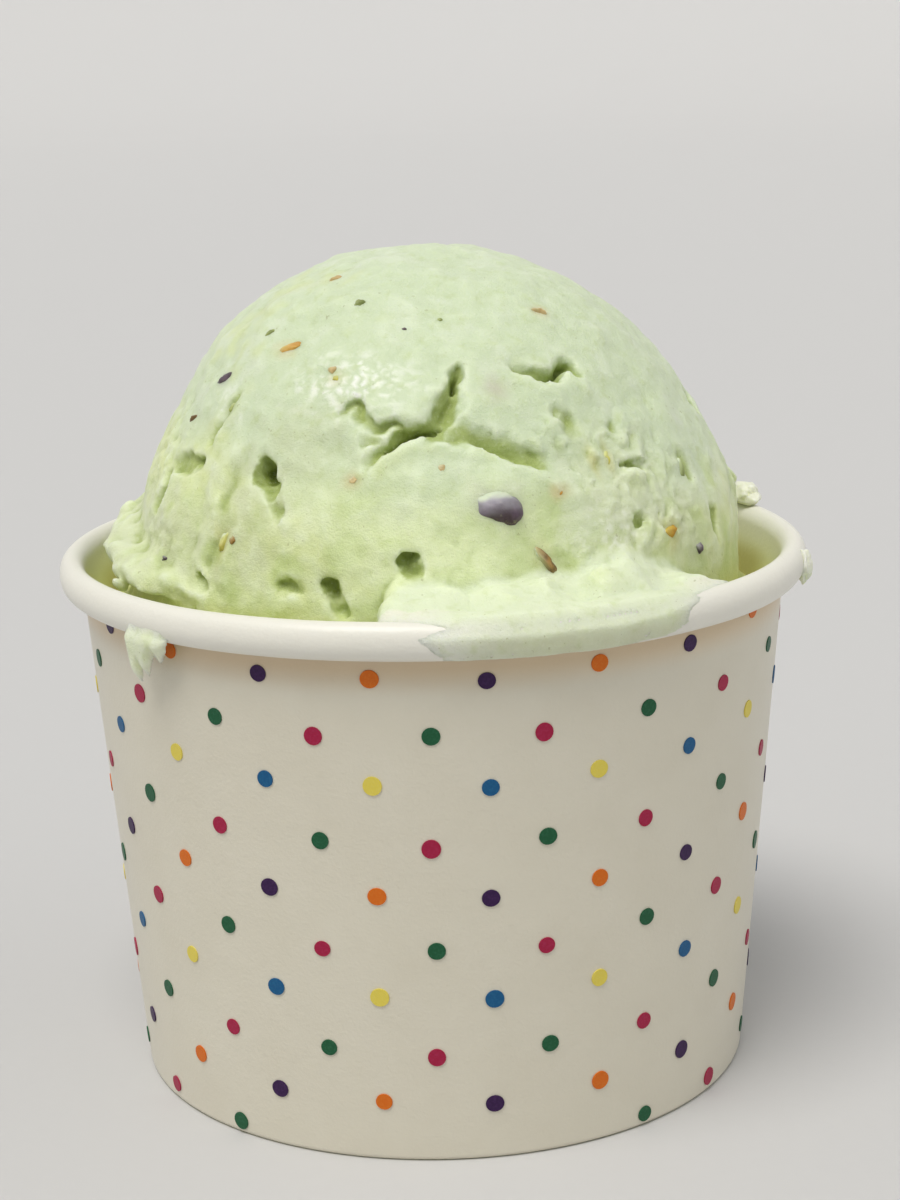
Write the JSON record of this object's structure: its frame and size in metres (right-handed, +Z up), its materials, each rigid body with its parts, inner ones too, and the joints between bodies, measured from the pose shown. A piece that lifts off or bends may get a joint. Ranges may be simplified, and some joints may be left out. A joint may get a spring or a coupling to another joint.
{
  "type": "gelato cup",
  "caption": "Round paper cup with a rolled rim, filled with pale green gelato that domes above the rim and runs over its front edge.",
  "frame": {"origin": "centre of the cup's foot, on the surface that the cup stands on", "axes": "+Z up along the cup's axis, -Y towards the side where the gelato runs over the rim, +X to the right seen from there"},
  "size_m": [0.076, 0.0769, 0.0842],
  "materials": {
    "paper": "white coated paperboard, printed with small round dots in six colours",
    "gelato": "soft pale green gelato, slightly wet, with deeper green in its cracks and pits",
    "nut": "chopped nut pieces, purple skinned, brown, orange and yellow-green",
    "ink": "flat printed ink dots"
  },
  "bodies": {
    "root": {"cup_wall": "paper", "cup_base": "paper", "gelato": "gelato", "gelato_drip_left": "gelato", "gelato_bit_right": "gelato", "gelato_drop_right": "gelato"}
  },
  "joints": []
}
